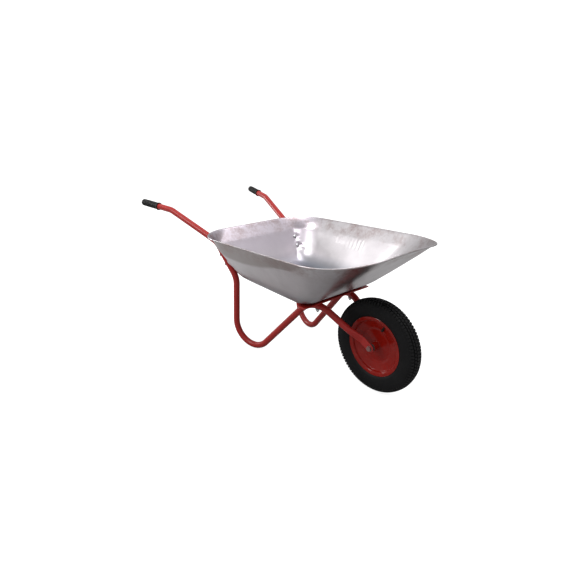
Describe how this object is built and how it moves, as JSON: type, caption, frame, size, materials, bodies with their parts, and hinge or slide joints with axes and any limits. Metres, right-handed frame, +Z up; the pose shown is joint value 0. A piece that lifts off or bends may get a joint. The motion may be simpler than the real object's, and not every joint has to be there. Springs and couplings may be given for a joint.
{
  "type": "wheelbarrow",
  "caption": "Single-wheel barrow with a pressed metal tray, two bent tube rails that form handles, legs and fork, and a pneumatic wheel that spins.",
  "frame": {"origin": "on the ground, in the middle of the length and the width", "axes": "+X forward from the grips to the wheel, +Y left, +Z up"},
  "size_m": [1.3823, 0.658, 0.5718],
  "materials": {
    "tray": "zinc-coated pressed sheet, satin with a faint brushed grain",
    "frame": "red powder coat, semi-gloss",
    "rim": "red stove enamel, glossy",
    "tyre": "black vulcanised rubber",
    "tube": "soft black butyl rubber",
    "grip": "black moulded rubber, matt, ribbed",
    "zinc": "bright zinc-plated fastener",
    "bush": "natural nylon",
    "cap": "black plastic",
    "brass": "rubber-covered valve stem"
  },
  "bodies": {
    "frame": {"tray": "tray", "cross_strap": "frame", "frame_rail_right": "frame", "frame_rail_left": "frame", "grip_right": "grip", "grip_left": "grip", "rear_bolts": "zinc", "rear_washers": "zinc", "rear_nuts": "zinc", "front_bolts": "zinc", "front_washers": "zinc", "front_nuts": "zinc", "axle_bolt": "zinc", "axle_nut": "zinc", "axle_washers": "zinc", "axle_spacer_right": "zinc", "axle_spacer_left": "zinc"},
    "wheel": {"hub_tube": "rim", "hub_bush_right": "bush", "hub_bush_left": "bush", "rim_half_right": "rim", "rim_half_left": "rim", "tyre": "tyre", "inner_tube": "tube", "valve_stem": "brass", "valve_cap": "cap"}
  },
  "joints": [
    {"name": "wheel_spin", "type": "hinge", "parent": "frame", "child": "wheel", "pos_m": [0.5105, 0, 0.18], "axis": [0, 1, 0], "continuous": true}
  ]
}
